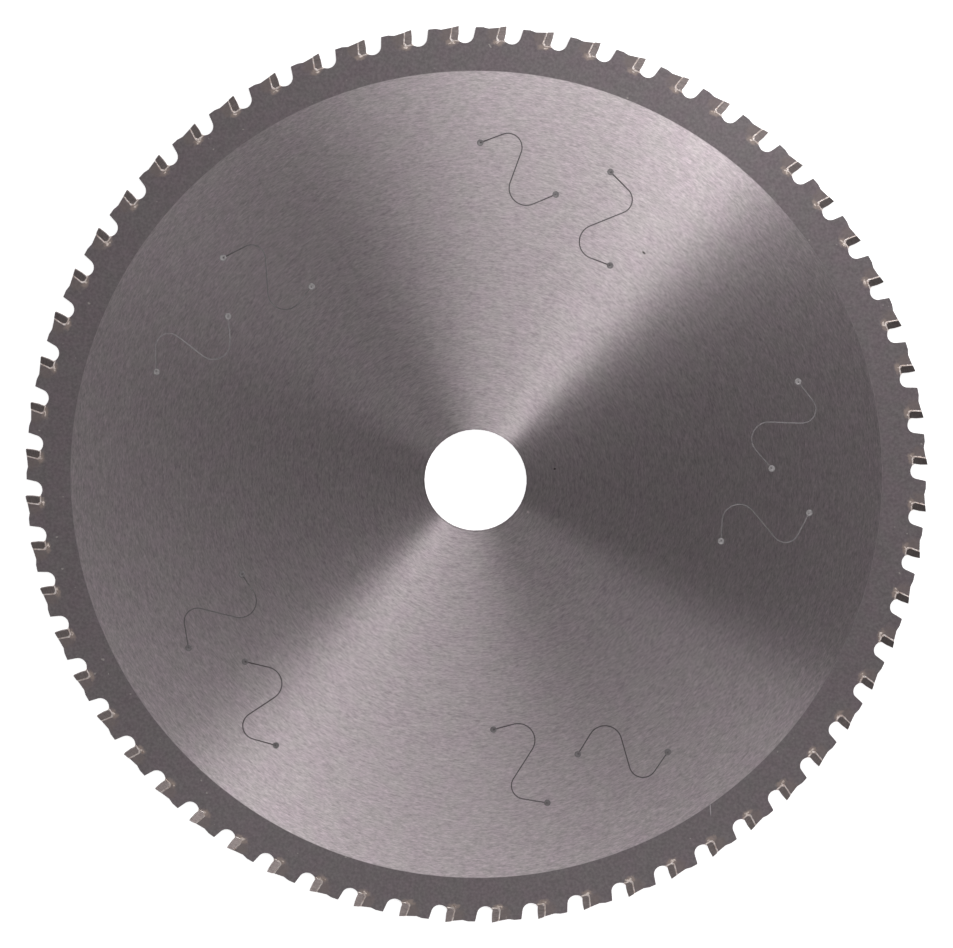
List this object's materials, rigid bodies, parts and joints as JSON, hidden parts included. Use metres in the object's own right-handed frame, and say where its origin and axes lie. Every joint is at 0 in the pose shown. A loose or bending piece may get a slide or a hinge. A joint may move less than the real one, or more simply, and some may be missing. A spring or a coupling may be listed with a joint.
{
  "type": "circular saw blade",
  "caption": "Flat round saw blade with a central arbor bore, brazed carbide teeth of alternate bevel and curved damping slots.",
  "frame": {"origin": "centre of the arbor bore, half way through the plate", "axes": "+Z along the arbor; seen from +Z the blade cuts clockwise; +X through the cutting corner of the first tooth"},
  "size_m": [0.265, 0.265, 0.0024],
  "materials": {
    "ground_steel": "ground in fine rings, darker and duller near the teeth",
    "carbide": "dark, finely ground",
    "braze_alloy": "pale silver solder, as it flowed",
    "slot_resin": "grey damping resin, level with the plate"
  },
  "bodies": {
    "root": {"blade_plate": "ground_steel", "braze_01": "braze_alloy", "braze_02": "braze_alloy", "braze_03": "braze_alloy", "braze_04": "braze_alloy", "braze_05": "braze_alloy", "braze_06": "braze_alloy", "braze_07": "braze_alloy", "braze_08": "braze_alloy", "braze_09": "braze_alloy", "braze_10": "braze_alloy", "braze_11": "braze_alloy", "braze_12": "braze_alloy", "braze_13": "braze_alloy", "braze_14": "braze_alloy", "braze_15": "braze_alloy", "tip_pair_01": "carbide", "tip_pair_02": "carbide", "tip_pair_03": "carbide", "tip_pair_04": "carbide", "tip_pair_05": "carbide", "tip_pair_06": "carbide", "tip_pair_07": "carbide", "tip_pair_08": "carbide", "tip_pair_09": "carbide", "tip_pair_10": "carbide", "tip_pair_11": "carbide", "tip_pair_12": "carbide", "tip_pair_13": "carbide", "tip_pair_14": "carbide", "tip_pair_15": "carbide", "tip_pair_16": "carbide", "tip_pair_17": "carbide", "tip_pair_18": "carbide", "tip_pair_19": "carbide", "tip_pair_20": "carbide", "tip_pair_21": "carbide", "tip_pair_22": "carbide", "tip_pair_23": "carbide", "tip_pair_24": "carbide", "tip_pair_25": "carbide", "tip_pair_26": "carbide", "tip_pair_27": "carbide", "tip_pair_28": "carbide", "tip_pair_29": "carbide", "tip_pair_30": "carbide"}
  },
  "joints": []
}
